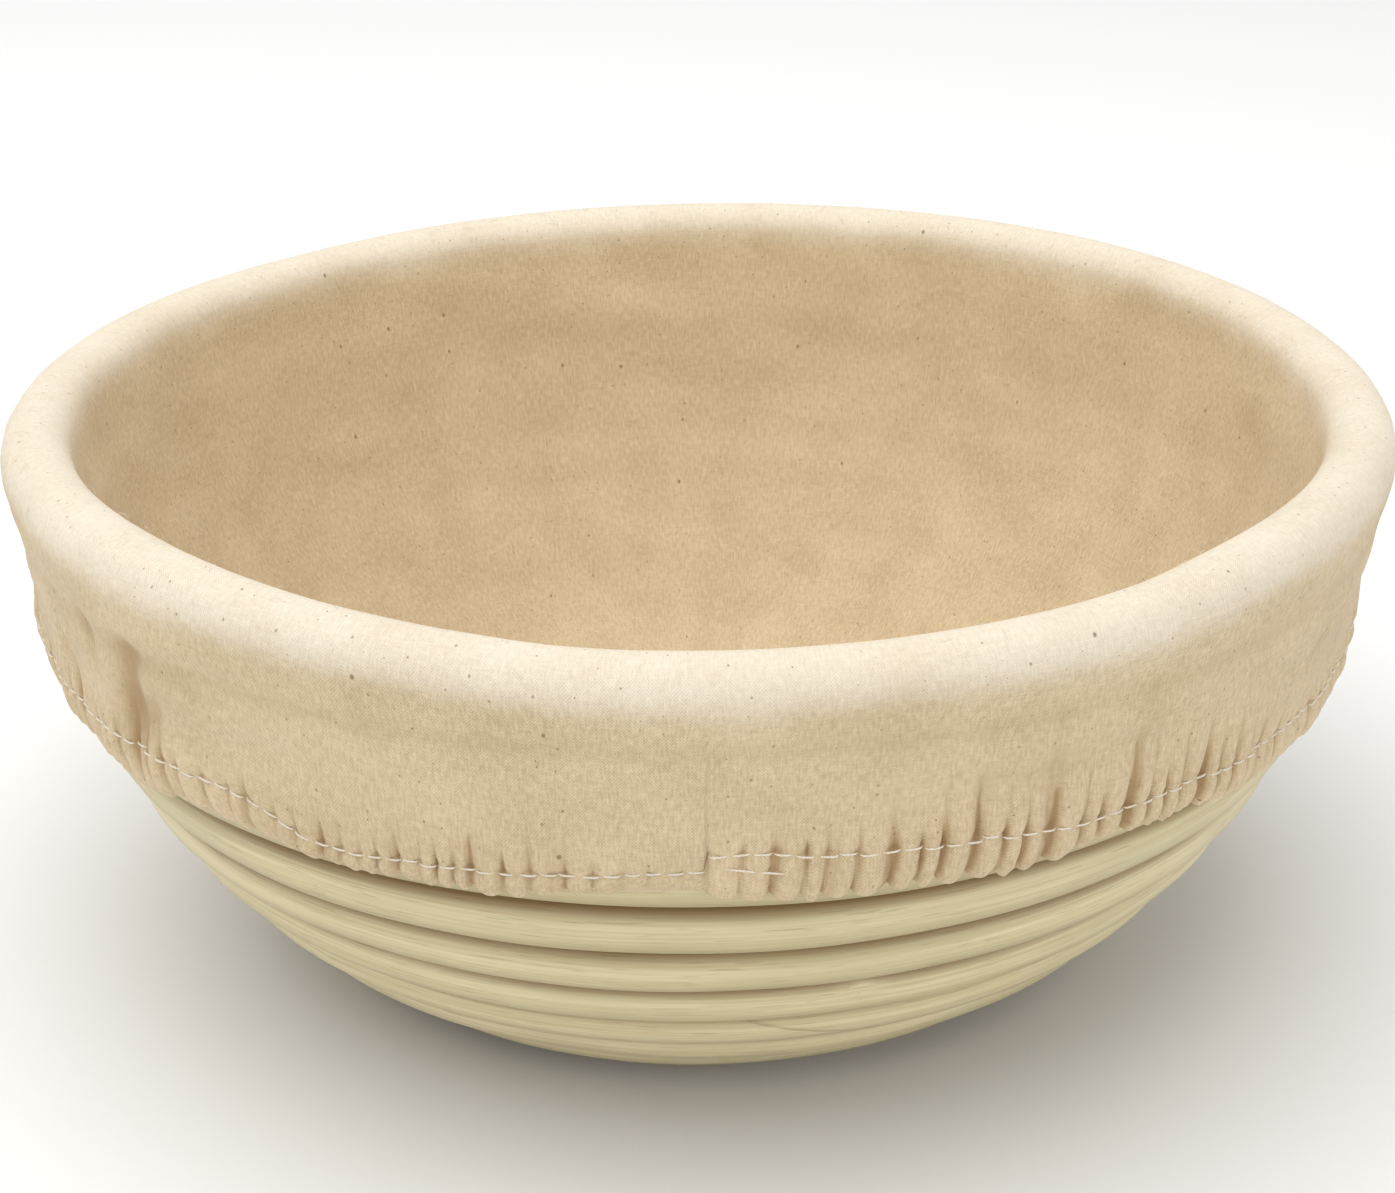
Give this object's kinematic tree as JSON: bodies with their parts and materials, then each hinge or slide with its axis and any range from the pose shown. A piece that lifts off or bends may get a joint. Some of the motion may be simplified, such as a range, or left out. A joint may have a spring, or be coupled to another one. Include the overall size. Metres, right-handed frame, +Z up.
{
  "type": "proofing basket",
  "caption": "Round coiled-cane proofing basket with a lift-out cloth liner held over the rim by an elastic hem.",
  "frame": {"origin": "centre of the base underside, on the surface that the basket stands on", "axes": "+Z up out of the bowl, -Y to the front, where the liner's side seam is, +X to the right seen from the front"},
  "size_m": [0.2518, 0.2518, 0.1046],
  "materials": {
    "cane": "pale rattan, fine lengthwise fibres, satin",
    "brad_steel": "plain wire brads",
    "calico": "unbleached plain-weave cotton, matt",
    "elastic": "white braided elastic",
    "thread": "cream sewing thread"
  },
  "bodies": {
    "basket": {"rim_cane": "cane", "upper_wall_cane": "cane", "middle_wall_cane": "cane", "lower_wall_cane": "cane", "base_cane": "cane", "cane_brads": "brad_steel"},
    "liner": {"liner_base": "calico", "liner_wall": "calico", "liner_skirt": "calico", "hem_elastic": "elastic", "hem_stitching": "thread", "side_seam_stitching": "thread", "base_seam_stitching": "thread"}
  },
  "joints": [
    {"name": "liner_lift", "type": "slide", "parent": "basket", "child": "liner", "axis": [0, 0, 1], "range_m": [0, 0.11], "deforming": ["liner_skirt", "hem_elastic", "hem_stitching", "side_seam_stitching"]}
  ]
}
